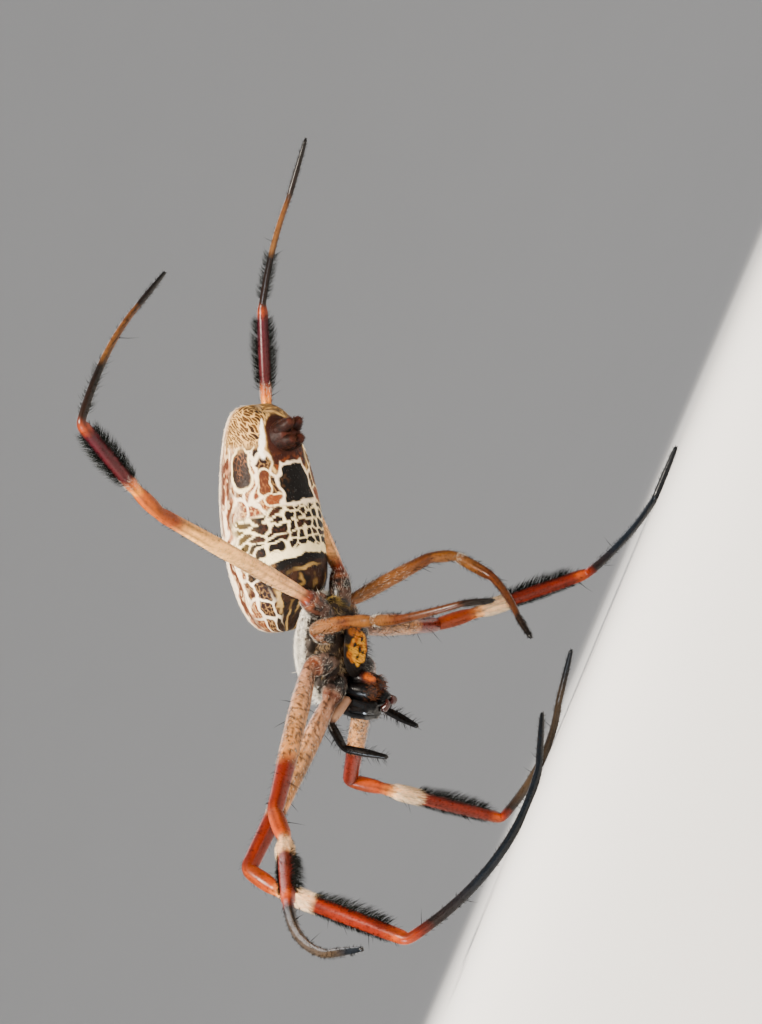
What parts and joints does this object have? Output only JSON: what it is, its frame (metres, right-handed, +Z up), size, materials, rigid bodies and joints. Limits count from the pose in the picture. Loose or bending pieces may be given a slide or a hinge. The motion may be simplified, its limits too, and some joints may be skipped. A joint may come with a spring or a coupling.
{
  "type": "golden silk orb weaver spider",
  "caption": "Life-size female golden silk orb weaver with a long cream and brown abdomen, silvery head and banded red and black legs with bristly shins, legs curled round as if feeding.",
  "frame": {"origin": "on the floor, under the middle of the whole spider with its legs", "axes": "+Z up from the floor; the head points along -X and down, the belly and left side face -Y"},
  "size_m": [0.0538, 0.066, 0.0396],
  "materials": {
    "silver_hair": "short dense silvery white hair lying over dark grey-brown cuticle",
    "sternum_orange": "orange-yellow cuticle plate with dark edges",
    "mouth_brown": "dark brown glossy cuticle with orange tips",
    "black_cuticle": "glossy black cuticle",
    "eye_black": "smooth glossy black lens",
    "pale_cuticle": "pinkish cream cuticle with dark speckles and silvery hairs, dark red towards the knee",
    "orange_cuticle": "orange-red glossy cuticle",
    "red_cuticle": "deep red glossy cuticle with a pale base band and black bristles",
    "dark_cuticle": "blue-black to dark brown glossy cuticle",
    "abdomen_skin": "silky cream skin with a fine network of brown blotches and pinkish streaks",
    "spinneret_maroon": "dark maroon glossy cuticle"
  },
  "bodies": {
    "root": {"carapace": "silver_hair", "sternum": "sternum_orange", "mouthparts": "mouth_brown", "chelicera_left": "black_cuticle", "fang_left": "black_cuticle", "palp_left": "dark_cuticle", "eye_front_median_left": "eye_black", "eye_rear_median_left": "eye_black", "eye_front_lateral_left": "eye_black", "eye_rear_lateral_left": "eye_black", "chelicera_right": "black_cuticle", "fang_right": "black_cuticle", "palp_right": "dark_cuticle", "eye_front_median_right": "eye_black", "eye_rear_median_right": "eye_black", "eye_front_lateral_right": "eye_black", "eye_rear_lateral_right": "eye_black", "leg_left_1_coxa": "pale_cuticle", "leg_left_1_femur": "pale_cuticle", "leg_left_1_patella": "orange_cuticle", "leg_left_1_tibia": "red_cuticle", "leg_left_1_metatarsus_tarsus": "dark_cuticle", "leg_right_1_coxa": "pale_cuticle", "leg_right_1_femur": "pale_cuticle", "leg_right_1_patella": "orange_cuticle", "leg_right_1_tibia": "red_cuticle", "leg_right_1_metatarsus_tarsus": "dark_cuticle", "leg_left_2_coxa": "pale_cuticle", "leg_left_2_femur": "pale_cuticle", "leg_left_2_patella": "orange_cuticle", "leg_left_2_tibia": "red_cuticle", "leg_left_2_metatarsus_tarsus": "dark_cuticle", "leg_right_2_coxa": "pale_cuticle", "leg_right_2_femur": "pale_cuticle", "leg_right_2_patella": "orange_cuticle", "leg_right_2_tibia": "red_cuticle", "leg_right_2_metatarsus_tarsus": "dark_cuticle", "leg_left_3_coxa": "pale_cuticle", "leg_left_3_femur": "pale_cuticle", "leg_left_3_patella": "orange_cuticle", "leg_left_3_tibia": "red_cuticle", "leg_left_3_metatarsus_tarsus": "dark_cuticle", "leg_right_3_coxa": "pale_cuticle", "leg_right_3_femur": "pale_cuticle", "leg_right_3_patella": "orange_cuticle", "leg_right_3_tibia": "red_cuticle", "leg_right_3_metatarsus_tarsus": "dark_cuticle", "leg_left_4_coxa": "pale_cuticle", "leg_left_4_femur": "pale_cuticle", "leg_left_4_patella": "orange_cuticle", "leg_left_4_tibia": "red_cuticle", "leg_left_4_metatarsus_tarsus": "dark_cuticle", "leg_right_4_coxa": "pale_cuticle", "leg_right_4_femur": "pale_cuticle", "leg_right_4_patella": "orange_cuticle", "leg_right_4_tibia": "red_cuticle", "leg_right_4_metatarsus_tarsus": "dark_cuticle", "abdomen": "abdomen_skin", "pedicel": "pale_cuticle", "spinnerets": "spinneret_maroon"}
  },
  "joints": []
}
